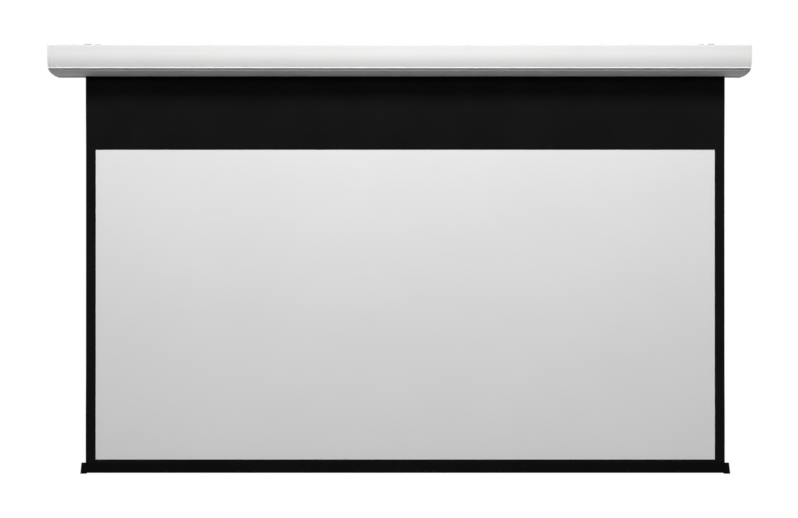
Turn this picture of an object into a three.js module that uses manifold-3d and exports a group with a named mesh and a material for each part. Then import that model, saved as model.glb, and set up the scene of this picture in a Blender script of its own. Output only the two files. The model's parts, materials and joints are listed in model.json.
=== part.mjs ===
import * as THREE from 'three';
import Module from 'manifold-3d';
import { mergeVertices } from 'three/addons/utils/BufferGeometryUtils.js';

// Electric roll-up projection screen in millimetres.
// X runs along the case, the viewer stands at -Y, and the flat top of the case is at Z = 0.

// Shared clearances
const clear = 0.3;
const cutOver = 1;
const weld = 0.001;
const turnStep = Math.PI / 12;
const roundSides = 12;
const tubeSides = 40;
const faceSteps = 12;

// Picture and cloth
const pictureWidth = 2400;
const pictureHeight = 1200;
const sideBorder = 38.5;
const topDrop = 282.6;
const bottomBorder = 13.7;
const clothThick = 0.45;
const windGap = 0.06;
const windTurns = 2.25;
const coatThick = 0.2;
const coatGap = 0.05;

// Case section, an extrusion whose front rolls back to a beaded lip
const motorMargin = 113;
const idlerMargin = 69;
const caseDepth = 125;
const caseHeight = 103.4;
const wall = 1.6;
const topRadius = 4;
const faceStraight = 36;
const faceRadius = 140;
const beadDepth = 86.3;
const beadRadius = 3.2;
const rearHeight = 101.4;
const slotFromMiddle = 32.5;
const slotWidth = 22;
const slotLip = 7;
const slotRadius = 2.2;

// Bottom cover, a second extrusion hung behind the bead
const coverFront = 16;
const noseRadius = 4;
const bellyRadius = 259.6;
const tongueTop = 76.4;
const tongueRail = 1.4;
const tongueGrip = 6.6;

// Roller
const axisZ = -50;
const tubeRadius = 30;
const tubeWall = 1.5;
const keyRadius = 1.7;
const keyDepth = 3;
const keyWall = 1.6;
const keyMouth = 1.6;

// Screws
const screwRadius = 1.6;
const headRadius = 3.2;
const headHeight = 1.9;
const driveRadius = 1.2;
const driveDepth = 1.1;
const screwGrip = 12;

// Screw ports inside the case
const portInset = 8.5;
const portWall = 1.6;
const portWeb = 2;
const topPortDrop = 18;
const rearPortRise = 9.4;
const coverPortRise = 5.7;

// End caps and the steel plates that nest in them
const capPlate = 2.5;
const capDepth = 8.5;
const capWall = 2.2;
const bossWall = 0.9;
const plateThick = 2.8;
const plateGap = 0.5;
const hubLength = 20;
const hubWall = 4.7;

// Motor
const motorRadius = 22;
const motorLength = 540;
const motorBevel = 2.5;
const headSize = 58;
const headLength = 37.1;
const headCorner = 6;
const stubSize = 16;
const stubCorner = 2;
const crownGrip = 16;
const wheelGrip = 16;
const flangeThick = 2.5;
const flangeGap = 0.6;
const shaftRadius = 6;
const shaftGrip = 11;
const limitRadius = 2.9;
const limitGrip = 11;
const limitAside = 17;
const limitSpacing = 14;
const limitDrive = 1.5;
const limitDriveDepth = 3;

// Idler
const pinRadius = 8;
const pinGrip = 18;
const pinCollar = 3;
const pinCollarLength = 7.4;
const pinBevel = 0.8;
const plugGrip = 30;
const plugWall = 2.4;
const plugWeb = 4.5;
const plugHubWall = 4.6;
const plugHubGrip = 22;
const plugHubFloor = 2.4;

// Receiver box and its lead
const boxLength = 180;
const boxRollGap = 3.8;
const boxHeight = 22;
const boxWall = 1.6;
const boxTop = 24.5;
const boxFromHead = 14;
const lidLip = 2;
const leadRadius = 3;
const leadSides = 10;
const leadSteps = 14;
const leadRise = 14;

// Mains inlet grommet in the left end cap
const inletBore = 4;
const inletRubber = 1.8;
const inletFlange = 2.6;
const inletFlangeThick = 1.8;
const inletFromRear = 15.7;
const inletDrop = 51.7;

// Slat
const slatHeight = 35;
const slatRear = 4;
const slatTopDepth = 7.6;
const slatBottomDepth = 20.2;
const slatEdge = 1.2;
const slatWall = 1.5;
const slatOver = 15;
const channelDrop = 5.2;
const channelRadius = 2.4;
const channelMouth = 1.3;
const chamberDrop = 10.5;
const splineRadius = 1.35;
const barDepth = 7.6;
const barHeight = 19.5;
const slatCapLength = 22;
const slatCapEnd = 3.2;
const slatCapSkin = 1.2;
const slatCapFoot = 3.3;
const slatCapCorner = 2;

// Hanging brackets that hook into the two grooves along the top of the case
const bracketFromEnd = 151.5;
const bracketWidth = 24;
const bracketThick = 3;
const flangeHeight = 30;
const frontGroove = 11;
const hookThick = 2.4;
const hookToe = 3;
const hookToeThick = 2.5;
const hookPlay = 0.8;
const grooveLip = 2.2;
const grooveHollow = 4.2;
const rearGroove = 10.5;
const boltRadius = 2.5;
const boltPlay = 0.7;
const boltHead = 5;
const nutDepth = 11.6;
const nutThick = 3.4;
const slotHoleWidth = 5.5;
const slotHoleLength = 14;
const wallHoleDrop = 11;

// Derived places
const frontY = -caseDepth / 2;
const rearY = caseDepth / 2;
const clothWidth = pictureWidth + 2 * sideBorder;
const clothShift = (motorMargin - idlerMargin) / 2;
const caseLength = clothWidth + motorMargin + idlerMargin;
const windPitch = clothThick + windGap;
const windStart = tubeRadius + clear + clothThick / 2;
const windReach = windStart + windPitch * windTurns;
const clothY = slotFromMiddle;
const axisY = clothY - windReach;
const slotFront = slotFromMiddle - slotWidth / 2;
const pictureTop = -caseHeight - topDrop;
const pictureBottom = pictureTop - pictureHeight;
const slatTop = pictureBottom - bottomBorder;
const slatBottom = slatTop - slatHeight;
const clothLeft = clothShift - clothWidth / 2;
const clothRight = clothShift + clothWidth / 2;
const bossDepth = capDepth - plateThick - 2 * clear;
const plateFrom = bossDepth + clear;
const hubEnd = plateFrom + plateThick + hubLength;
const headLeft = hubEnd + clear - caseLength / 2;
const headRight = headLeft + headLength;
const tubeLeft = headRight + flangeGap + flangeThick + clear;
const collarRight = caseLength / 2 - hubEnd - clear;
const tubeRight = collarRight - pinCollarLength - flangeThick - 2 * clear;
const tubeInner = tubeRadius - tubeWall;
const coverY = frontY + coverFront;
const shellEnd = caseLength / 2 - capDepth - clear;
const boreRadius = screwRadius + clear;
const portRadius = boreRadius + portWall;

// Shape helpers. Outlines are lists of points in a plane, anticlockwise, seen from +X with Y to the right.
const { Manifold, Mesh: SolidMesh } = await Module().then((kit) => {
  kit.setup();
  return kit;
});

function point(y, z) {
  return new THREE.Vector2(y, z);
}

// A line of corners, each with a fillet radius
function rounded(corners, closed = true) {
  const count = corners.length;
  return corners.flatMap(([y, z, radius = 0], i) => {
    const here = point(y, z);
    const isEnd = !closed && (i === 0 || i === count - 1);
    if (!radius || isEnd) return [here];
    const [y0, z0] = corners[(i + count - 1) % count];
    const [y1, z1] = corners[(i + 1) % count];
    const back = point(y0, z0).sub(here).normalize();
    const ahead = point(y1, z1).sub(here).normalize();
    const half = Math.acos(back.dot(ahead)) / 2;
    const centre = here.clone().addScaledVector(back.clone().add(ahead).normalize(), radius / Math.sin(half));
    const start = here.clone().addScaledVector(back, radius / Math.tan(half)).sub(centre);
    const end = here.clone().addScaledVector(ahead, radius / Math.tan(half)).sub(centre);
    const turn = Math.atan2(start.cross(end), start.dot(end));
    const steps = Math.max(2, Math.ceil(Math.abs(turn) / turnStep));
    return arc(centre, radius, start.angle(), start.angle() + turn, steps);
  });
}

function arc(centre, radius, from, to, steps) {
  return Array.from({ length: steps + 1 }, (_, i) => {
    const angle = from + ((to - from) * i) / steps;
    return point(centre.x + radius * Math.cos(angle), centre.y + radius * Math.sin(angle));
  });
}

function circle(y, z, radius, sides = roundSides) {
  return arc(point(y, z), radius, 0, 2 * Math.PI, sides).slice(0, sides);
}

function rectangle(y0, y1, z0, z1, radius = 0) {
  return rounded([[y0, z0, radius], [y1, z0, radius], [y1, z1, radius], [y0, z1, radius]]);
}

// The same line moved to its left by a distance
function inset(line, distance, closed = true) {
  const count = line.length;
  return line.map((here, i) => {
    const before = closed || i > 0 ? line[(i + count - 1) % count] : null;
    const after = closed || i < count - 1 ? line[(i + 1) % count] : null;
    const inward = (before ? here.clone().sub(before) : after.clone().sub(here)).normalize();
    const outward = (after ? after.clone().sub(here) : here.clone().sub(before)).normalize();
    const sum = point(-inward.y - outward.y, inward.x + outward.x);
    return here.clone().addScaledVector(sum, distance / (1 + inward.dot(outward)));
  });
}

// A sheet-metal or extrusion wall that follows an open line
function walled(line, thickness) {
  return [...line, ...inset(line, thickness, false).reverse()];
}

// Merged, outward-facing geometry without empty faces
function cleaned(geometry) {
  const bare = geometry.index ? geometry.toNonIndexed() : geometry.clone();
  bare.deleteAttribute('normal');
  bare.deleteAttribute('uv');
  const joined = mergeVertices(bare, weld);
  const spots = joined.attributes.position;
  const faces = joined.index.array;
  const kept = [];
  let volume = 0;
  const [a, b, c] = [new THREE.Vector3(), new THREE.Vector3(), new THREE.Vector3()];
  for (let i = 0; i < faces.length; i += 3) {
    const [p, q, r] = [faces[i], faces[i + 1], faces[i + 2]];
    if (p === q || q === r || r === p) continue;
    kept.push(p, q, r);
    a.fromBufferAttribute(spots, p);
    b.fromBufferAttribute(spots, q);
    c.fromBufferAttribute(spots, r);
    volume += a.dot(b.cross(c));
  }
  if (volume < 0) {
    for (let i = 0; i < kept.length; i += 3) [kept[i], kept[i + 1]] = [kept[i + 1], kept[i]];
  }
  joined.setIndex(kept);
  return joined;
}

function solid(geometry) {
  const clean = cleaned(geometry);
  return new Manifold(new SolidMesh({
    numProp: 3,
    vertProperties: Float32Array.from(clean.attributes.position.array),
    triVerts: Uint32Array.from(clean.index.array),
  }));
}

function geometryOf(body) {
  const mesh = body.getMesh();
  const geometry = new THREE.BufferGeometry();
  geometry.setAttribute('position', new THREE.BufferAttribute(new Float32Array(mesh.vertProperties), 3));
  geometry.setIndex(new THREE.BufferAttribute(new Uint32Array(mesh.triVerts), 1));
  return geometry;
}

// Outline in Y and Z, run along X
const alongX = new THREE.Matrix4().makeBasis(
  new THREE.Vector3(0, 1, 0),
  new THREE.Vector3(0, 0, 1),
  new THREE.Vector3(1, 0, 0),
);

function prism(outline, x0, x1) {
  const from = Math.min(x0, x1);
  const shape = new THREE.ExtrudeGeometry(new THREE.Shape(outline), {
    depth: Math.abs(x1 - x0),
    bevelEnabled: false,
    steps: 1,
  });
  return solid(shape.applyMatrix4(alongX).translate(from, 0, 0));
}

// Outline in X and Y, run up Z
function post(outline, z0, z1) {
  const shape = new THREE.ExtrudeGeometry(new THREE.Shape(outline), {
    depth: Math.abs(z1 - z0),
    bevelEnabled: false,
    steps: 1,
  });
  return solid(shape.translate(0, 0, Math.min(z0, z1)));
}

// Profile of [radius, height] pairs turned round X or Z through a centre
function turned(profile, axis, centre, sides = roundSides) {
  const shape = new THREE.LatheGeometry(profile.map(([r, h]) => point(r, h)), sides);
  if (axis === 'x') shape.rotateZ(-Math.PI / 2);
  else if (axis === 'z') shape.rotateX(Math.PI / 2);
  return solid(shape.translate(...centre));
}

function closedTurn(profile, axis, centre, sides) {
  return turned([...profile, profile[0]], axis, centre, sides);
}

function joinAll(first, ...rest) {
  return rest.reduce((sum, body) => sum.add(body), first);
}

function cutAll(first, ...rest) {
  return rest.reduce((left, body) => left.subtract(body), first);
}

// Materials
const finishes = {
  whiteCoat: [0xf1f1ee, 0.45, 0],
  whitePlastic: [0xececea, 0.5, 0],
  blackCoat: [0x111113, 0.42, 0.1],
  blackPlastic: [0x141416, 0.5, 0],
  blackCloth: [0x101011, 0.9, 0],
  pictureCoat: [0xdadada, 0.85, 0],
  steel: [0x9a9da0, 0.4, 0.9],
  zinc: [0xb9bbb8, 0.35, 0.9],
  aluminium: [0xc2c4c6, 0.35, 0.85],
  motorPaint: [0x33363a, 0.5, 0.4],
  rubber: [0x1b1b1b, 0.85, 0],
  limitWhite: [0xe8e6df, 0.55, 0],
  limitYellow: [0xd9b31c, 0.55, 0],
};

const group = new THREE.Group();
group.name = 'motorized_projector_screen';

function piece(name, body, finish) {
  const [color, roughness, metalness] = finishes[finish];
  const geometry = cleaned(geometryOf(body));
  geometry.computeVertexNormals();
  const mesh = new THREE.Mesh(geometry, new THREE.MeshStandardMaterial({ color, roughness, metalness }));
  mesh.name = name;
  group.add(mesh);
}

// Case section
// How far the front has rolled back at a height
function faceSetback(z) {
  const below = Math.max(0, -faceStraight - z);
  return faceRadius - Math.sqrt(faceRadius * faceRadius - below * below);
}

function faceLine(bottom) {
  const centre = point(frontY + faceRadius, -faceStraight);
  const turn = Math.asin((-faceStraight - bottom) / faceRadius);
  return arc(centre, faceRadius, Math.PI, Math.PI + turn, faceSteps);
}

const beadCentre = point(frontY + faceSetback(-beadDepth) + wall / 2, -beadDepth);
const bellyCentre = point(slotFront - slotRadius, bellyRadius - caseHeight);
const bellyFront = coverY + noseRadius + clear;
const bellyStart = Math.PI + Math.acos((bellyCentre.x - bellyFront) / bellyRadius);
const belly = arc(bellyCentre, bellyRadius, bellyStart, 1.5 * Math.PI, faceSteps);
const noseSlope = (belly[0].y - belly[1].y) / (belly[1].x - belly[0].x);
const noseCorner = belly[0].y + noseSlope * (bellyFront - coverY);

const rearLine = [
  [rearY, -rearHeight, topRadius],
  [rearY, 0, topRadius],
  [frontY, 0, topRadius],
];
const slotRear = slotFront + slotWidth;
const shellLine = [
  ...rounded([
    [slotRear, slotLip - rearHeight],
    [slotRear, -rearHeight, slotRadius],
    ...rearLine,
    [frontY, -faceStraight],
  ], false).slice(0, -1),
  ...faceLine(-beadDepth),
];
const coverLine = rounded([
  [coverY, -tongueTop],
  [coverY, noseCorner, noseRadius],
  ...belly.slice(0, -1).map((spot) => [spot.x, spot.y]),
  [slotFront, -caseHeight, slotRadius],
  [slotFront, slotLip - caseHeight],
], false);

// The closed outline of the end caps
const caseOutline = [
  ...rounded([[slotFront, -caseHeight], ...rearLine, [frontY, -faceStraight]], false).slice(1, -1),
  ...faceLine(beadRadius - beadDepth),
  ...arc(beadCentre, beadRadius, Math.PI * 0.6, 1.5 * Math.PI, faceSteps),
  ...rounded([
    [coverY, beadRadius - beadDepth],
    [coverY, noseCorner, noseRadius],
    ...belly.map((spot) => [spot.x, spot.y]),
  ], false).slice(1),
];

// Screw ports: centre and the point of the wall that carries each
const shellPorts = [
  { y: frontY + portInset, z: -topPortDrop, toY: frontY + wall / 2 },
  { y: rearY - portInset, z: -topPortDrop, toY: rearY - wall / 2 },
  { y: rearY - portInset, z: rearPortRise - rearHeight, toY: rearY - wall / 2 },
];
const coverPortY = coverY + portInset;
const coverPortFloor = -caseHeight + bellyRadius - Math.sqrt(bellyRadius ** 2 - (coverPortY - bellyCentre.x) ** 2);
const coverPort = { y: coverPortY, z: coverPortFloor + coverPortRise };
const ports = [...shellPorts, coverPort];

function portBodies({ y, z, toY }) {
  const web = toY === undefined
    ? rectangle(y - portWeb / 2, y + portWeb / 2, z - coverPortRise + wall / 2, z)
    : rectangle(Math.min(y, toY), Math.max(y, toY), z - portWeb / 2, z + portWeb / 2);
  return [prism(circle(y, z, portRadius), -shellEnd, shellEnd), prism(web, -shellEnd, shellEnd)];
}

function portBore({ y, z }) {
  return prism(circle(y, z, boreRadius), -shellEnd - cutOver, shellEnd + cutOver);
}

// Top grooves: a hook groove at the front and a nut groove at the rear
const hookY = frontY + frontGroove;
const hookMouth = hookThick + 2 * hookPlay;
const hookHollowFront = hookY - hookThick / 2 - hookToe - hookPlay;
const nutY = rearY - rearGroove;
const nutMouth = 2 * (boltRadius + boltPlay);
const nutHollow = nutDepth / 2 + boltPlay;
const grooveFloor = -grooveLip - grooveHollow;

function grooveBlock(y0, y1) {
  return prism(rectangle(y0 - wall, y1 + wall, grooveFloor - wall, -wall / 2), -shellEnd, shellEnd);
}

function grooveCut(mouth0, mouth1, hollow0, hollow1) {
  const outline = [
    point(hollow0, grooveFloor),
    point(hollow1, grooveFloor),
    point(hollow1, -grooveLip),
    point(mouth1, -grooveLip),
    point(mouth1, cutOver),
    point(mouth0, cutOver),
    point(mouth0, -grooveLip),
    point(hollow0, -grooveLip),
  ].filter((spot, i, all) => !spot.equals(all[(i + 1) % all.length]));
  return prism(outline, -shellEnd - cutOver, shellEnd + cutOver);
}

// The rail that grips the cover's tongue
const railY = coverY + wall + clear;
const railTop = -tongueTop + clear + tongueRail;
const railStart = frontY + faceSetback(railTop) + wall / 2;
const railOutline = [
  point(railStart, railTop - tongueRail),
  point(railY, railTop - tongueRail),
  point(railY, railTop - tongueRail - tongueGrip),
  point(railY + tongueRail, railTop - tongueRail - tongueGrip),
  point(railY + tongueRail, railTop),
  point(railStart, railTop),
];

piece('case_shell', cutAll(
  joinAll(
    prism(walled(shellLine, wall), -shellEnd, shellEnd),
    prism(circle(beadCentre.x, beadCentre.y, beadRadius), -shellEnd, shellEnd),
    prism(railOutline, -shellEnd, shellEnd),
    grooveBlock(hookHollowFront, hookY + hookMouth / 2),
    grooveBlock(nutY - nutHollow, nutY + nutHollow),
    ...shellPorts.flatMap(portBodies),
  ),
  grooveCut(hookY - hookMouth / 2, hookY + hookMouth / 2, hookHollowFront, hookY + hookMouth / 2),
  grooveCut(nutY - nutMouth / 2, nutY + nutMouth / 2, nutY - nutHollow, nutY + nutHollow),
  ...shellPorts.map(portBore),
), 'whiteCoat');

piece('bottom_cover', joinAll(
  prism(walled(coverLine, wall), -shellEnd, shellEnd),
  ...portBodies(coverPort),
).subtract(portBore(coverPort)), 'whiteCoat');

// End caps: a moulded plate with a rim and screw bosses.
// Places are counted inward from the outer face of the cap.
function fromEnd(side, inward) {
  return side * (caseLength / 2 - inward);
}

const bossRadius = headRadius + clear + bossWall;
const pocket = inset(caseOutline, capWall);
const plateOutline = inset(caseOutline, capWall + plateGap);
const seatDepth = headHeight + 2 * clear;

function endCap(side) {
  const shell = cutAll(
    prism(caseOutline, fromEnd(side, 0), fromEnd(side, capDepth)),
    prism(pocket, fromEnd(side, capPlate), fromEnd(side, capDepth + cutOver)),
  );
  const bosses = ports.map(({ y, z }) => prism(
    circle(y, z, bossRadius),
    fromEnd(side, capPlate - clear),
    fromEnd(side, bossDepth),
  ));
  const seats = ports.flatMap(({ y, z }) => [
    prism(circle(y, z, headRadius + clear), fromEnd(side, -cutOver), fromEnd(side, seatDepth)),
    prism(circle(y, z, boreRadius), fromEnd(side, 0), fromEnd(side, capDepth)),
  ]);
  return cutAll(joinAll(shell, ...bosses), ...seats);
}

// Round-headed screw along X, head toward the side it points to
function screwX(side, headX, y, z, length) {
  const towards = (reach) => side * reach;
  const profile = [
    [0, towards(-driveDepth)],
    [driveRadius, towards(-driveDepth)],
    [driveRadius, 0],
    [headRadius - clear, 0],
    [headRadius, towards(-2 * clear)],
    [headRadius, towards(-headHeight)],
    [screwRadius, towards(-headHeight)],
    [screwRadius, towards(screwRadius / 2 - length)],
    [screwRadius / 2, towards(-length)],
    [0, towards(-length)],
  ];
  return turned(profile, 'x', [headX, y, z]);
}

// Rubber grommet that lines the mains inlet, where the lead goes in through cap and plate
const inletY = rearY - inletFromRear;
const inletNeck = inletBore + inletRubber;
const inletLip = inletNeck + inletFlange;
const inletInner = capPlate + clear;
piece('inlet_grommet', closedTurn([
  [inletBore, -clear - inletFlangeThick],
  [inletLip, -clear - inletFlangeThick],
  [inletLip, -clear],
  [inletNeck, -clear],
  [inletNeck, inletInner],
  [inletLip, inletInner],
  [inletLip, inletInner + inletFlangeThick],
  [inletBore, inletInner + inletFlangeThick],
], 'x', [fromEnd(-1, 0), inletY, -inletDrop]), 'rubber');
const inletHole = prism(
  circle(inletY, -inletDrop, inletNeck + clear),
  fromEnd(-1, -cutOver),
  fromEnd(-1, capDepth + cutOver),
);

const capScrewLength = capDepth + screwGrip;
for (const [side, name] of [[-1, 'left'], [1, 'right']]) {
  piece(`${name}_end_cap`, side < 0 ? endCap(side).subtract(inletHole) : endCap(side), 'whitePlastic');
  ports.forEach(({ y, z }, i) => {
    piece(`${name}_cap_screw_${i + 1}`, screwX(side, fromEnd(side, clear), y, z, capScrewLength), 'zinc');
  });
}

// Steel plates in the end caps: a square socket for the motor, a round one for the idler pin
function square(size, corner) {
  return rectangle(axisY - size / 2, axisY + size / 2, axisZ - size / 2, axisZ + size / 2, corner);
}

function endPlate(side, hub, bore) {
  const plateTo = plateFrom + plateThick;
  const through = [fromEnd(side, plateFrom - cutOver), fromEnd(side, plateTo + hubLength + cutOver)];
  return cutAll(
    joinAll(
      prism(plateOutline, fromEnd(side, plateFrom), fromEnd(side, plateTo)),
      prism(hub, fromEnd(side, plateTo - clear), fromEnd(side, plateTo + hubLength)),
    ),
    prism(bore, ...through),
    ...ports.map(({ y, z }) => prism(circle(y, z, boreRadius), ...through)),
  );
}

const socketSize = stubSize + 2 * clear;
const pinBore = pinRadius + clear;
piece('motor_bracket', endPlate(
  -1,
  square(socketSize + 2 * hubWall, stubCorner + hubWall),
  square(socketSize, stubCorner),
).subtract(inletHole), 'steel');
piece('idler_bracket', endPlate(
  1,
  circle(axisY, axisZ, pinBore + hubWall, 2 * roundSides),
  circle(axisY, axisZ, pinBore, 2 * roundSides),
), 'steel');

// Motor head on its square stub, with two limit screws in its underside
const headFloor = axisZ - headSize / 2;
const limitY = axisY + limitAside;
const limitMiddle = (headLeft + headRight) / 2;
const limitPlaces = [
  ['limit_up_screw', limitMiddle - limitSpacing / 2, 'limitWhite'],
  ['limit_down_screw', limitMiddle + limitSpacing / 2, 'limitYellow'],
];
piece('motor_head', cutAll(
  joinAll(
    prism(square(headSize, headCorner), headLeft, headRight),
    prism(square(stubSize, stubCorner), fromEnd(-1, plateFrom + clear), headLeft + clear),
  ),
  ...limitPlaces.map(([, x]) => post(
    circle(x, limitY, limitRadius + clear),
    headFloor - cutOver,
    headFloor + limitGrip + clear,
  )),
), 'blackPlastic');
for (const [name, x, finish] of limitPlaces) {
  piece(name, turned([
    [0, limitDriveDepth],
    [limitDrive, limitDriveDepth],
    [limitDrive, 0],
    [limitRadius - clear, 0],
    [limitRadius, clear],
    [limitRadius, limitGrip],
    [0, limitGrip],
  ], 'z', [x, limitY, headFloor]), finish);
}

// Motor body, bored at its far end for the drive wheel's shaft
const motorLeft = headRight + clear;
const motorRight = motorLeft + motorLength;
const shaftBore = shaftRadius + clear;
const shaftDepth = shaftGrip + clear;
piece('motor_body', turned([
  [0, 0],
  [motorRadius, 0],
  [motorRadius, motorLength - motorBevel],
  [motorRadius - motorBevel, motorLength],
  [shaftBore, motorLength],
  [shaftBore, motorLength - shaftDepth],
  [0, motorLength - shaftDepth],
], 'x', [motorLeft, axisY, axisZ], 2 * roundSides), 'motorPaint');

// Roller tube with a keyway at its top
const keyZ = axisZ + tubeRadius - keyDepth;
const keyBore = keyRadius + clear;
const keyBulge = keyBore + keyWall;
piece('roller_tube', cutAll(
  joinAll(
    cutAll(
      prism(circle(axisY, axisZ, tubeRadius, tubeSides), tubeLeft, tubeRight),
      prism(circle(axisY, axisZ, tubeInner, tubeSides), tubeLeft - cutOver, tubeRight + cutOver),
    ),
    prism(circle(axisY, keyZ, keyBulge), tubeLeft, tubeRight)
      .intersect(prism(circle(axisY, axisZ, tubeInner + tubeWall / 2, tubeSides), tubeLeft, tubeRight)),
  ),
  prism(circle(axisY, keyZ, keyBore), tubeLeft - cutOver, tubeRight + cutOver),
  prism(
    rectangle(axisY - keyMouth / 2, axisY + keyMouth / 2, keyZ, axisZ + tubeRadius + cutOver),
    tubeLeft - cutOver,
    tubeRight + cutOver,
  ),
), 'aluminium');
piece('cloth_key_rod', prism(circle(axisY, keyZ, keyRadius), clothLeft, clothRight), 'steel');

// Cloth that stays wound when the screen is down, one spiral strip
const windSteps = Math.round(windTurns * tubeSides);
const windAt = (edge) => Array.from({ length: windSteps + 1 }, (_, i) => {
  const turn = (i / windSteps) * windTurns;
  const angle = 2 * Math.PI * (windTurns - turn);
  const radius = windStart + windPitch * turn + edge;
  return point(axisY + radius * Math.cos(angle), axisZ + radius * Math.sin(angle));
});
piece('cloth_roll', prism(
  [...windAt(clothThick / 2), ...windAt(-clothThick / 2).reverse()].reverse(),
  clothLeft,
  clothRight,
), 'blackCloth');

// Crown ring, drive wheel and idler plug, all notched for the keyway
const sleeveRadius = tubeInner - clear;
function keyNotch(x0, x1) {
  return prism(circle(axisY, keyZ, keyBulge + clear), x0, x1);
}

const crownBore = motorRadius + clear;
piece('crown_ring', closedTurn([
  [crownBore, -clear - flangeThick],
  [tubeRadius, -clear - flangeThick],
  [tubeRadius, -clear],
  [sleeveRadius, -clear],
  [sleeveRadius, crownGrip],
  [crownBore, crownGrip],
], 'x', [tubeLeft, axisY, axisZ], tubeSides).subtract(
  keyNotch(tubeLeft - clear / 2, tubeLeft + crownGrip + cutOver),
), 'blackPlastic');

const wheelLeft = motorRight + clear;
piece('drive_wheel', cutAll(
  joinAll(
    prism(circle(axisY, axisZ, sleeveRadius, tubeSides), wheelLeft, wheelLeft + wheelGrip),
    prism(circle(axisY, axisZ, shaftRadius), wheelLeft - clear - shaftGrip, wheelLeft + clear),
  ),
  keyNotch(wheelLeft - cutOver, wheelLeft + wheelGrip + cutOver),
), 'blackPlastic');

const plugHub = pinBore + plugHubWall;
const plugFloor = plugHubFloor - plugHubGrip;
piece('idler_plug', turned([
  [0, plugFloor],
  [pinBore, plugFloor],
  [pinBore, clear + flangeThick],
  [tubeRadius, clear + flangeThick],
  [tubeRadius, clear],
  [sleeveRadius, clear],
  [sleeveRadius, -plugGrip],
  [sleeveRadius - plugWall, -plugGrip],
  [sleeveRadius - plugWall, flangeThick - plugWeb],
  [plugHub, flangeThick - plugWeb],
  [plugHub, -plugHubGrip],
  [0, -plugHubGrip],
], 'x', [tubeRight, axisY, axisZ], tubeSides).subtract(
  keyNotch(tubeRight - plugGrip - cutOver, tubeRight + clear / 2),
), 'blackPlastic');

const pinEnd = fromEnd(1, plateFrom + clear) - tubeRight;
const collarEnd = collarRight - tubeRight;
piece('idler_pin', turned([
  [0, -pinGrip],
  [pinRadius - pinBevel, -pinGrip],
  [pinRadius, pinBevel - pinGrip],
  [pinRadius, 2 * clear + flangeThick],
  [pinRadius + pinCollar, 2 * clear + flangeThick],
  [pinRadius + pinCollar, collarEnd],
  [pinRadius, collarEnd],
  [pinRadius, pinEnd - pinBevel],
  [pinRadius - pinBevel, pinEnd],
  [0, pinEnd],
], 'x', [tubeRight, axisY, axisZ], 2 * roundSides), 'steel');

// Receiver box against the front wall, open to the rear under its lid
const boxFloor = -boxTop - boxHeight;
const boxFront = frontY + wall + faceSetback(boxFloor) + clear;
const fullRoll = Math.sqrt(windReach ** 2 + (windPitch * (axisZ - slatTop)) / Math.PI);
const boxRear = axisY - fullRoll - boxRollGap;
const boxLeft = headRight + boxFromHead;
const boxRight = boxLeft + boxLength;
const boxSeat = boxRear - boxWall - clear;
piece('receiver_box', cutAll(
  prism(rectangle(boxFront, boxSeat, boxFloor, -boxTop), boxLeft, boxRight),
  prism(
    rectangle(boxFront + boxWall, boxSeat + cutOver, boxFloor + boxWall, -boxTop - boxWall),
    boxLeft + boxWall,
    boxRight - boxWall,
  ),
), 'blackPlastic');
piece('receiver_lid', joinAll(
  prism(rectangle(boxSeat + clear, boxRear, boxFloor, -boxTop), boxLeft, boxRight),
  prism(
    rectangle(boxSeat - lidLip, boxRear, boxFloor + boxWall + clear, -boxTop - boxWall - clear),
    boxLeft + boxWall + clear,
    boxRight - boxWall - clear,
  ),
), 'blackPlastic');

// Lead from the motor head to the receiver box
const leadZ = axisZ + leadRise;
const leadY = (boxFront + boxSeat) / 2;
const leadX = limitMiddle;
const leadPath = new THREE.QuadraticBezierCurve3(
  new THREE.Vector3(leadX, axisY - headSize / 2 - clear, leadZ),
  new THREE.Vector3(leadX, leadY, leadZ),
  new THREE.Vector3(boxLeft - clear, leadY, leadZ),
);
piece('motor_lead', solid(new THREE.ExtrudeGeometry(new THREE.Shape(circle(0, 0, leadRadius, leadSides)), {
  extrudePath: leadPath,
  steps: leadSteps,
  bevelEnabled: false,
})), 'rubber');

// Hanging cloth and its coated picture area
const channelZ = slatTop - channelDrop;
const hemInner = splineRadius + clear;
const hemOuter = hemInner + clothThick;
const clothFace = clothY - clothThick / 2;
piece('screen_cloth', prism(
  rectangle(clothFace, clothY + clothThick / 2, channelZ + hemOuter + clear, axisZ - clear),
  clothLeft,
  clothRight,
), 'blackCloth');
piece('picture_surface', prism(
  rectangle(clothFace - coatGap - coatThick, clothFace - coatGap, pictureBottom, pictureTop),
  clothShift - pictureWidth / 2,
  clothShift + pictureWidth / 2,
), 'pictureCoat');

// Slat: a hollow wedge with a channel for the hemmed cloth
const slatBack = clothY + slatRear;
const slatSlope = (slatBottomDepth - slatTopDepth) / slatHeight;
const slatFace = (drop) => slatBack - slatTopDepth - slatSlope * drop;
const slatOutline = rounded([
  [slatFace(0), slatTop, slatEdge],
  [slatFace(slatHeight), slatBottom, slatEdge],
  [slatBack, slatBottom, slatEdge],
  [slatBack, slatTop, slatEdge],
]);
const chamberTop = slatTop - chamberDrop;
const chamberFloor = slatBottom + slatWall;
const chamber = rounded([
  [slatFace(chamberDrop) + slatWall, chamberTop],
  [slatFace(slatHeight - slatWall) + slatWall, chamberFloor],
  [slatBack - slatWall, chamberFloor],
  [slatBack - slatWall, chamberTop],
]);
const slatEnd = clothWidth / 2 + slatOver;
const profileEnd = slatEnd - slatCapEnd - clear;
const atSlat = (x) => clothShift + x;
const slatRun = [atSlat(-profileEnd), atSlat(profileEnd)];
const slatCut = [atSlat(-profileEnd - cutOver), atSlat(profileEnd + cutOver)];
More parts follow.
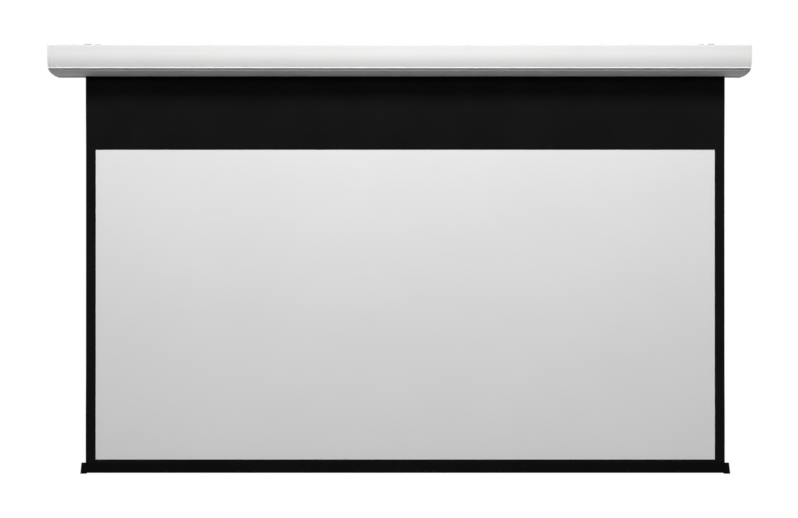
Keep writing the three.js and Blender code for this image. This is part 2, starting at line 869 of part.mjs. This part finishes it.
piece('slat_profile', cutAll(
  prism(slatOutline, ...slatRun),
  prism(chamber, ...slatCut),
  prism(circle(clothY, channelZ, channelRadius), ...slatCut),
  prism(
    rectangle(clothY - channelMouth / 2, clothY + channelMouth / 2, channelZ, slatTop + cutOver),
    ...slatCut,
  ),
), 'blackCoat');
piece('cloth_hem', cutAll(
  prism(circle(clothY, channelZ, hemOuter), clothLeft, clothRight),
  prism(circle(clothY, channelZ, hemInner), clothLeft - cutOver, clothRight + cutOver),
), 'blackCloth');
piece('spline_rod', prism(circle(clothY, channelZ, splineRadius), clothLeft, clothRight), 'steel');

const barRear = slatBack - slatWall - clear;
const barFloor = chamberFloor + clear;
const barEnd = profileEnd - clear;
const barY = barRear - barDepth / 2;
const barZ = barFloor + barHeight / 2;
const barBore = screwGrip + clear;
const barSides = [-1, 1];
piece('weight_bar', cutAll(
  prism(
    rectangle(barRear - barDepth, barRear, barFloor, barFloor + barHeight),
    atSlat(-barEnd),
    atSlat(barEnd),
  ),
  ...barSides.map((side) => prism(
    circle(barY, barZ, boreRadius),
    atSlat(side * (barEnd - barBore)),
    atSlat(side * (barEnd + cutOver)),
  )),
), 'steel');

// Slat end caps: sleeves with a foot, slotted for the cloth
const slatCapOutline = rounded([
  [slatFace(0) - slatCapSkin, slatTop + slatCapSkin, slatCapCorner],
  [slatFace(slatHeight) - slatCapSkin, slatBottom - slatCapFoot, slatCapCorner],
  [slatBack + slatCapSkin, slatBottom - slatCapFoot, slatCapCorner],
  [slatBack + slatCapSkin, slatTop + slatCapSkin, slatCapCorner],
]);
const slatPocket = inset(slatOutline, -clear);
const slatSeat = headHeight + clear;
for (const [side, name] of [[-1, 'left'], [1, 'right']]) {
  const inner = atSlat(side * (slatEnd - slatCapLength));
  const outer = atSlat(side * slatEnd);
  piece(`slat_${name}_cap`, cutAll(
    prism(slatCapOutline, inner, outer),
    prism(slatPocket, inner - side * cutOver, atSlat(side * (slatEnd - slatCapEnd))),
    prism(
      rectangle(clothY - channelMouth, clothY + channelMouth, slatTop - clear, slatTop + slatCapSkin + cutOver),
      inner - side * cutOver,
      atSlat(side * (clothWidth / 2 + clear)),
    ),
    prism(circle(barY, barZ, headRadius + clear), outer - side * slatSeat, outer + side * cutOver),
    prism(circle(barY, barZ, boreRadius), inner, outer),
  ), 'blackPlastic');
  piece(
    `slat_${name}_cap_screw`,
    screwX(side, outer - side * clear / 2, barY, barZ, slatCapEnd + screwGrip - clear),
    'zinc',
  );
}

// Hanging brackets: hook, plate over the case, wall flange, sliding nut and bolt
const plateFloor = clear;
const plateTop = plateFloor + bracketThick;
const flangeTop = plateFloor + flangeHeight;
const flangeBack = rearY + bracketThick;
const hookFront = hookY - hookThick / 2;
const hookBack = hookY + hookThick / 2;
const toeTop = -grooveLip - clear;
const toeFloor = toeTop - hookToeThick;
const bracketOutline = rounded([
  [hookFront - hookToe, toeFloor],
  [hookBack, toeFloor],
  [hookBack, plateFloor],
  [flangeBack, plateFloor, bracketThick],
  [flangeBack, flangeTop],
  [rearY, flangeTop],
  [rearY, plateTop],
  [hookFront - hookToe, plateTop],
  [hookFront - hookToe, plateFloor],
  [hookFront, plateFloor],
  [hookFront, toeTop],
  [hookFront - hookToe, toeTop],
]);

function slotHole(across, along) {
  const reach = slotHoleLength / 2;
  const half = slotHoleWidth / 2;
  return rounded([
    [across - half, along - reach, half - weld],
    [across + half, along - reach, half - weld],
    [across + half, along + reach, half - weld],
    [across - half, along + reach, half - weld],
  ]);
}

const wallHoleZ = flangeTop - wallHoleDrop;
for (const [side, name] of [[-1, 'left'], [1, 'right']]) {
  const x = side * (caseLength / 2 - bracketFromEnd);
  const wallSlot = solid(new THREE.ExtrudeGeometry(new THREE.Shape(slotHole(x, wallHoleZ)), {
    depth: bracketThick + 2 * cutOver,
    bevelEnabled: false,
  }).rotateX(Math.PI / 2).translate(0, flangeBack + cutOver, 0));
  piece(`${name}_bracket`, cutAll(
    prism(bracketOutline, x - bracketWidth / 2, x + bracketWidth / 2),
    wallSlot,
    turned([
      [0, plateFloor - cutOver],
      [boltRadius + clear, plateFloor - cutOver],
      [boltRadius + clear, plateTop - boltHead + boltRadius],
      [boltHead + clear, plateTop],
      [boltHead + clear, plateTop + cutOver],
      [0, plateTop + cutOver],
    ], 'z', [x, nutY, 0]),
  ), 'zinc');
  piece(`${name}_bracket_nut`, cutAll(
    prism(
      rectangle(nutY - nutDepth / 2, nutY + nutDepth / 2, toeTop - nutThick, toeTop),
      x - bracketWidth / 2 + cutOver,
      x + bracketWidth / 2 - cutOver,
    ),
    post(circle(x, nutY, boltRadius + clear), toeTop - nutThick - cutOver, toeTop + cutOver),
  ), 'steel');
  piece(`${name}_bracket_bolt`, turned([
    [0, grooveFloor + clear],
    [boltRadius, grooveFloor + clear],
    [boltRadius, plateTop - boltHead + boltRadius - clear],
    [boltHead, plateTop - clear],
    [driveRadius, plateTop - clear],
    [driveRadius, plateTop - clear - driveDepth],
    [0, plateTop - clear - driveDepth],
  ], 'z', [x, nutY, 0]), 'zinc');
}

export default group;
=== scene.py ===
import json
import math

import bmesh
import bpy
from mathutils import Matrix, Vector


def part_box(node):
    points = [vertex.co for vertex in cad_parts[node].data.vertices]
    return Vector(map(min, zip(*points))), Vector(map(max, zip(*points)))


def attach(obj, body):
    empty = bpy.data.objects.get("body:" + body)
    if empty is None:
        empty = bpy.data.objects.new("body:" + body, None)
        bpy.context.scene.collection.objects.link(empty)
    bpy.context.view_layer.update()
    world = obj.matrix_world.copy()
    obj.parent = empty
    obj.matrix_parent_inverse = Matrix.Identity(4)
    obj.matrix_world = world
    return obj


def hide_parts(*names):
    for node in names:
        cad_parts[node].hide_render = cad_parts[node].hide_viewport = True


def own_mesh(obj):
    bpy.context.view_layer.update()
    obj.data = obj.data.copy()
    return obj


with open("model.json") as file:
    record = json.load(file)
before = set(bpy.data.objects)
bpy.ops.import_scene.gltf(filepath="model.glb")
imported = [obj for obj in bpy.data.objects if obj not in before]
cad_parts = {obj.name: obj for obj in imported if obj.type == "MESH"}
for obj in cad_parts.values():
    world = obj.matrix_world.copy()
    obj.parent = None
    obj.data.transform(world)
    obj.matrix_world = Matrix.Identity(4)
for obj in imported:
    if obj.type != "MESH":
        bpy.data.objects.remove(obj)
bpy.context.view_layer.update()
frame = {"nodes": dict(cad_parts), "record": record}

MM = 0.001


# Node trees of the materials and the world
class Nodes:
    """Adds and joins the nodes of one tree."""

    def __init__(self, tree):
        self.tree = tree
        self.tree.nodes.clear()

    def add(self, kind, **settings):
        """A new node. Each setting goes to the input of that name, or else to the node itself."""
        node = self.tree.nodes.new(kind)
        for key, value in settings.items():
            socket = key.replace("_", " ").title()
            if socket in node.inputs:
                node.inputs[socket].default_value = value
            else:
                setattr(node, key, value)
        return node

    def join(self, source, target):
        self.tree.links.new(source, target)

    def math(self, operation, a, b):
        node = self.add("ShaderNodeMath", operation=operation)
        for slot, value in zip(node.inputs, (a, b)):
            if isinstance(value, (int, float)):
                slot.default_value = value
            else:
                self.join(value, slot)
        return node.outputs[0]

    def blended(self, share, first, second):
        """The first shader, with that share of the second."""
        node = self.add("ShaderNodeMixShader")
        for slot, output in zip(node.inputs, (share, first, second)):
            self.join(output, slot)
        return node.outputs[0]

    def looked_at(self):
        """1 where the camera sees this directly, mirrored or through glass, and 0 for light."""
        rays = self.add("ShaderNodeLightPath").outputs
        plain = self.math("MAXIMUM", rays["Is Camera Ray"], rays["Is Glossy Ray"])
        return self.math("MAXIMUM", plain, rays["Is Transmission Ray"])


class Surface(Nodes):
    """One material. Its colour, gloss and bump vary in the object's own space."""

    NOISE_MIDDLE = (0.35, 0.65)
    NOISE_SPREAD = (0.3, 0.7)

    def __init__(self, name):
        self.material = bpy.data.materials.new(name)
        self.material.use_nodes = True
        super().__init__(self.material.node_tree)
        self.output = self.add("ShaderNodeOutputMaterial")
        self.shader = self.add("ShaderNodeBsdfPrincipled")
        self.join(self.shader.outputs[0], self.output.inputs[0])
        self.place = self.add("ShaderNodeTexCoord").outputs["Object"]

    def stretched(self, scale):
        node = self.add("ShaderNodeMapping", scale=scale)
        self.join(self.place, node.inputs["Vector"])
        return node.outputs[0]

    def noise(self, scale, detail, where=None):
        node = self.add("ShaderNodeTexNoise", scale=scale, detail=detail)
        self.join(where or self.place, node.inputs["Vector"])
        return node.outputs["Fac"]

    def bands(self, direction, scale):
        node = self.add(
            "ShaderNodeTexWave", wave_type="BANDS", bands_direction=direction, scale=scale
        )
        self.join(self.place, node.inputs["Vector"])
        return node.outputs["Fac"]

    def weave(self, scale):
        """Threads across and down."""
        return self.math("MULTIPLY", self.bands("X", scale), self.bands("Z", scale))

    def colour(self, value, dark, light):
        ramp = self.add("ShaderNodeValToRGB")
        for end, position, tone in zip(
            ramp.color_ramp.elements, self.NOISE_MIDDLE, (dark, light)
        ):
            end.position = position
            end.color = (*tone, 1)
        self.join(value, ramp.inputs[0])
        self.join(ramp.outputs[0], self.shader.inputs["Base Color"])

    def roughness(self, value, low, high):
        node = self.add("ShaderNodeMapRange")
        for slot, number in zip(node.inputs[1:5], (*self.NOISE_SPREAD, low, high)):
            slot.default_value = number
        self.join(value, node.inputs[0])
        self.join(node.outputs[0], self.shader.inputs["Roughness"])

    def bump(self, height, strength, distance):
        node = self.add("ShaderNodeBump", strength=strength, distance=distance)
        self.join(height, node.inputs["Height"])
        self.join(node.outputs[0], self.shader.inputs["Normal"])

    def set(self, **sockets):
        for key, value in sockets.items():
            self.shader.inputs[key.replace("_", " ")].default_value = value


# Procedural materials
def shade(colour, amount):
    return tuple(part * amount for part in colour)


def coat(name, colour, rough, level, vary=0.02):
    """Powder coat or paint: orange-peel bump, faint drift of tone and gloss."""
    n = Surface(name)
    n.colour(n.noise(scale=3.5, detail=3), dark=shade(colour, 1 - vary), light=colour)
    n.roughness(n.noise(scale=45, detail=4), low=rough - 0.05, high=rough + 0.06)
    n.bump(n.noise(scale=700, detail=2), strength=0.35, distance=0.06 * MM)
    n.set(Specular_IOR_Level=level)
    return n.material


def moulded(name, colour, rough, level=0.35):
    """Moulded plastic: spark-eroded grain and slightly polished patches."""
    n = Surface(name)
    n.colour(n.noise(scale=9, detail=3), dark=shade(colour, 0.95), light=shade(colour, 1.02))
    n.roughness(n.noise(scale=60, detail=3), low=rough - 0.06, high=rough + 0.07)
    n.bump(n.noise(scale=1900, detail=3), strength=0.4, distance=0.05 * MM)
    n.set(Specular_IOR_Level=level)
    return n.material


def metal(name, colour, rough, grain=(6, 420, 420), spangle=0.06, metallic=1.0):
    """Drawn or plated metal: grain, long or even, and a mottled tone."""
    n = Surface(name)
    lines = n.noise(scale=1, detail=5, where=n.stretched(grain))
    mottle = n.noise(scale=85, detail=4)
    n.colour(mottle, dark=shade(colour, 1 - spangle), light=shade(colour, 1 + spangle))
    n.roughness(lines, low=rough - 0.08, high=rough + 0.1)
    n.bump(lines, strength=0.25, distance=0.04 * MM)
    n.set(Metallic=metallic)
    return n.material


def rubbery(name, colour):
    """Rubber or a cable's jacket: matt, with a fine grain and a mottled tone."""
    n = Surface(name)
    n.colour(n.noise(scale=30, detail=4), dark=shade(colour, 0.8), light=shade(colour, 1.2))
    n.roughness(n.noise(scale=200, detail=3), low=0.72, high=0.85)
    n.bump(n.noise(scale=1400, detail=2), strength=0.4, distance=0.08 * MM)
    n.set(Specular_IOR_Level=0.25)
    return n.material


def black_cloth(name, dark=(0.0058, 0.0058, 0.0062), light=(0.0072, 0.0072, 0.0076)):
    """Coated black cloth: a fine plain weave pressed into a matt face."""
    n = Surface(name)
    n.colour(n.noise(scale=7, detail=4), dark, light)
    n.roughness(n.noise(scale=120, detail=3), low=0.8, high=0.92)
    n.bump(n.weave(scale=330), strength=0.3, distance=0.12 * MM)
    n.set(Specular_IOR_Level=0.03)
    return n.material


def picture_face(name, dark=(0.822, 0.822, 0.824), light=(0.838, 0.838, 0.84)):
    """Pale projection coating: very matt, with a barely visible grain and weave."""
    n = Surface(name)
    fine = n.math("MULTIPLY", n.noise(scale=1500, detail=2), 0.6)
    grain = n.math("ADD", fine, n.math("MULTIPLY", n.weave(scale=280), 0.4))
    n.colour(n.noise(scale=2.2, detail=4), dark, light)
    n.roughness(grain, low=0.86, high=0.96)
    n.bump(grain, strength=0.12, distance=0.06 * MM)
    n.set(Specular_IOR_Level=0.12)
    return n.material


WHITE = (0.775, 0.775, 0.77)
materials = {
    "white_coat": coat("white_powder_coat", WHITE, 0.46, level=0.15),
    "white_plastic": moulded("white_moulding", WHITE, 0.5),
    "black_coat": coat("black_powder_coat", (0.003, 0.003, 0.0032), 0.5, level=0.015, vary=0.2),
    "black_plastic": moulded("black_moulding", (0.0035, 0.0035, 0.0038), 0.55, level=0.015),
    "black_cloth": black_cloth("black_coated_cloth"),
    "picture_coat": picture_face("pale_projection_face"),
    "steel": metal("drawn_steel", (0.5, 0.51, 0.52), 0.36),
    "zinc": metal(
        "zinc_plate", (0.27, 0.28, 0.275), 0.62,
        grain=(120, 120, 120), spangle=0.14, metallic=0.35,
    ),
    "aluminium": metal("mill_aluminium", (0.72, 0.73, 0.74), 0.3),
    "motor_paint": coat("motor_paint", (0.035, 0.036, 0.04), 0.4, level=0.4),
    "rubber": rubbery("black_rubber", (0.012, 0.012, 0.012)),
    "limit_white": moulded("limit_white", (0.78, 0.77, 0.7), 0.5),
    "limit_yellow": moulded("limit_yellow", (0.62, 0.4, 0.02), 0.5),
}

slots = {part["node"]: part["material_slot"] for part in frame["record"]["subparts"]}
for node, piece in frame["nodes"].items():
    piece.data.materials.clear()
    piece.data.materials.append(materials[slots[node]])


def placed(name, data):
    """A new object in the scene."""
    piece = bpy.data.objects.new(name, data)
    bpy.context.scene.collection.objects.link(piece)
    return piece


def mesh_piece(name, shape, *finishes):
    """A new object of this bmesh, with these materials in turn."""
    mesh = bpy.data.meshes.new(name)
    shape.to_mesh(mesh)
    shape.free()
    for finish in finishes:
        mesh.materials.append(finish)
    return placed(name, mesh)


# Hanging cloth: a thin sheet with its black borders and pale picture area, and the border below
cloth_low, cloth_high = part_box("screen_cloth")
picture_low, picture_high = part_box("picture_surface")

# Its bow away from the viewer: edges that curl back, one slow wave, and room for the roll.
# Heights are shares of the cloth's height, and it lies still at both ends.
EDGE_CURL, CURL_WIDTH = 2.2 * MM, 50 * MM
WAVE_DEPTH, WAVE_ACROSS, WAVE_START, WAVE_DOWN = 0.5 * MM, 2.1, 1.3, 3.0
STILL_BELOW, STILL_ABOVE, FREE_SPAN = 0.1, 0.93, 0.15
ROLL_ROOM, ROOM_FROM, ROOM_SPAN = 0.35 * MM, 0.8, 0.1

# Divisions of its grid
SIDE_CUTS, PICTURE_ACROSS, PICTURE_DOWN, UPPER_CUTS, LOWER_CUTS = 3, 62, 42, 14, 2


def divided(places, counts):
    """The places, with the count of even divisions between each two."""
    marks = []
    for start, end, count in zip(places, places[1:], counts):
        marks += [start + (end - start) * i / count for i in range(count)]
    return [*marks, places[-1]]


def eased(value):
    """0 below 0, 1 above 1, smooth between."""
    held = max(0.0, min(1.0, value))
    return held * held * (3 - 2 * held)


def sway(x, z):
    """How far the hanging cloth bows away from the viewer."""
    reach = (z - cloth_low[2]) / (cloth_high[2] - cloth_low[2])
    free = eased((reach - STILL_BELOW) / FREE_SPAN) * eased((STILL_ABOVE - reach) / FREE_SPAN)
    edge = min(x - cloth_low[0], cloth_high[0] - x)
    curl = EDGE_CURL * math.exp(-edge / CURL_WIDTH)
    wave = WAVE_DEPTH * (1 + math.sin(WAVE_ACROSS * x + WAVE_START) * math.sin(WAVE_DOWN * z))
    return free * (curl + wave) + ROLL_ROOM * eased((reach - ROOM_FROM) / ROOM_SPAN)


def in_picture(x, z):
    return picture_low[0] < x < picture_high[0] and picture_low[2] < z < picture_high[2]


xs = divided(
    (cloth_low[0], picture_low[0], picture_high[0], cloth_high[0]),
    (SIDE_CUTS, PICTURE_ACROSS, SIDE_CUTS),
)
above = divided((picture_low[2], picture_high[2], cloth_high[2]), (PICTURE_DOWN, UPPER_CUTS))
below = divided((cloth_low[2], picture_low[2]), (LOWER_CUTS,))


def cloth_side(cloth, zs, front):
    """Adds the front or the back of the sheet to the bmesh and returns its rows of points."""
    grid = []
    for z in zs:
        row = []
        for x in xs:
            y = cloth_low[1] if front else cloth_high[1]
            if front and in_picture(x, z):
                y = picture_low[1]
            row.append(cloth.verts.new((x, y + sway(x, z), z)))
        grid.append(row)
    for lower, upper in zip(grid, grid[1:]):
        for i in range(len(xs) - 1):
            ring = [lower[i], lower[i + 1], upper[i + 1], upper[i]]
            face = cloth.faces.new(ring if front else ring[::-1])
            middle = face.calc_center_median()
            face.material_index = 1 if front and in_picture(middle.x, middle.z) else 0
            face.smooth = True
    return grid


def thin_cloth(name, zs, body, *finishes):
    """A closed thin sheet at xs and zs, black but for the picture on its front."""
    cloth = bmesh.new()
    front = cloth_side(cloth, zs, front=True)
    back = cloth_side(cloth, zs, front=False)
    rims = [
        (front[0], back[0]),
        (back[-1], front[-1]),
        ([row[0] for row in back], [row[0] for row in front]),
        ([row[-1] for row in front], [row[-1] for row in back]),
    ]
    for a, b in rims:
        for i in range(len(a) - 1):
            rim = cloth.faces.new([b[i], b[i + 1], a[i + 1], a[i]])
            for edge in rim.edges:
                edge.smooth = False
    bmesh.ops.recalc_face_normals(cloth, faces=cloth.faces)
    piece = mesh_piece(name, cloth, *(materials[finish] for finish in finishes))
    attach(piece, body)
    return piece


# The border under the picture rises with the slat, so that it shows when the rest is wound up
sheet = thin_cloth("hanging_cloth", above, "case", "black_cloth", "picture_coat")
border = thin_cloth("lower_border", below, "slat", "black_cloth")
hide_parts("screen_cloth", "picture_surface")
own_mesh(sheet)


# Stage: a pale floor below the lowered screen, almost white where it is looked at
FLOOR_Z, FLOOR_REACH = -6, 13
FLOOR_WHITE = 0.95

surface = Surface("pale_floor")
surface.colour(
    surface.noise(scale=1.5, detail=4), dark=(0.7, 0.7, 0.7), light=(0.74, 0.74, 0.74)
)
surface.set(Roughness=0.9, Specular_IOR_Level=0.1)
glow = surface.add("ShaderNodeEmission", strength=1)
share = surface.math("MULTIPLY", surface.looked_at(), FLOOR_WHITE)
pale = surface.blended(share, surface.shader.outputs[0], glow.outputs[0])
surface.join(pale, surface.output.inputs[0])

floor = bmesh.new()
floor.faces.new([
    floor.verts.new((x * FLOOR_REACH, y * FLOOR_REACH, FLOOR_Z))
    for x, y in ((-1, -1), (1, -1), (1, 1), (-1, 1))
])
mesh_piece("floor", floor, surface.material)

# World: white where it is looked at, weak cool light elsewhere
world = bpy.data.worlds.new("studio")
bpy.context.scene.world = world
world.use_nodes = True
sky = Nodes(world.node_tree)
white = sky.add("ShaderNodeBackground", color=(1, 1, 1, 1), strength=1)
around = sky.add("ShaderNodeBackground", color=(0.97, 0.985, 1, 1), strength=0.05)
shown = sky.blended(sky.looked_at(), around.outputs[0], white.outputs[0])
sky.join(shown, sky.add("ShaderNodeOutputWorld").inputs[0])


# Lamps: a long soft bank above the front, a weaker one over the viewer, and level ones for the
# back and the sides
def lamp(name, place, aim, size, power):
    data = bpy.data.lights.new(name, "AREA")
    data.shape = "RECTANGLE"
    data.size, data.size_y = size
    data.energy = power
    piece = placed(name, data)
    piece.visible_camera = False
    piece.location = place
    across, away, up = (to - start for start, to in zip(place, aim))
    tilt = math.atan2(up, math.hypot(across, away))
    piece.rotation_euler = (math.pi / 2 + tilt, 0, math.atan2(-across, away))


lamp("bank_above", place=(0, -2.9, 3.2), aim=(0, 0, -0.3), size=(4.2, 1.2), power=243)
lamp("fill_front", place=(0, -5.4, 1.5), aim=(0, 0, -0.5), size=(4.0, 1.2), power=85)
lamp("fill_back", place=(0, 5.2, 0.3), aim=(0, 0, -0.4), size=(4.0, 1.6), power=130)
lamp("fill_left", place=(-6, 0.1, 0.2), aim=(0, 0, -0.2), size=(1.6, 1.2), power=92)
lamp("fill_right", place=(6, 0.1, 0.2), aim=(0, 0, -0.2), size=(1.6, 1.2), power=92)

# Camera: straight on, level with the middle of the lowered screen, as in the photograph
CAMERA_X, CAMERA_DISTANCE, CAMERA_Z = -0.0022, 3.5, -0.809
FOCAL_PX, IMAGE_WIDTH_PX = 903, 798
SENSOR_MM = 36

camera_data = bpy.data.cameras.new("camera")
camera_data.sensor_width = SENSOR_MM
camera_data.lens = FOCAL_PX / IMAGE_WIDTH_PX * SENSOR_MM
camera = placed("camera", camera_data)
camera.location = (CAMERA_X, cloth_low[1] - CAMERA_DISTANCE, CAMERA_Z)
camera.rotation_euler = (math.pi / 2, 0, 0)
bpy.context.scene.camera = camera
bpy.context.scene.view_settings.view_transform = "Standard"
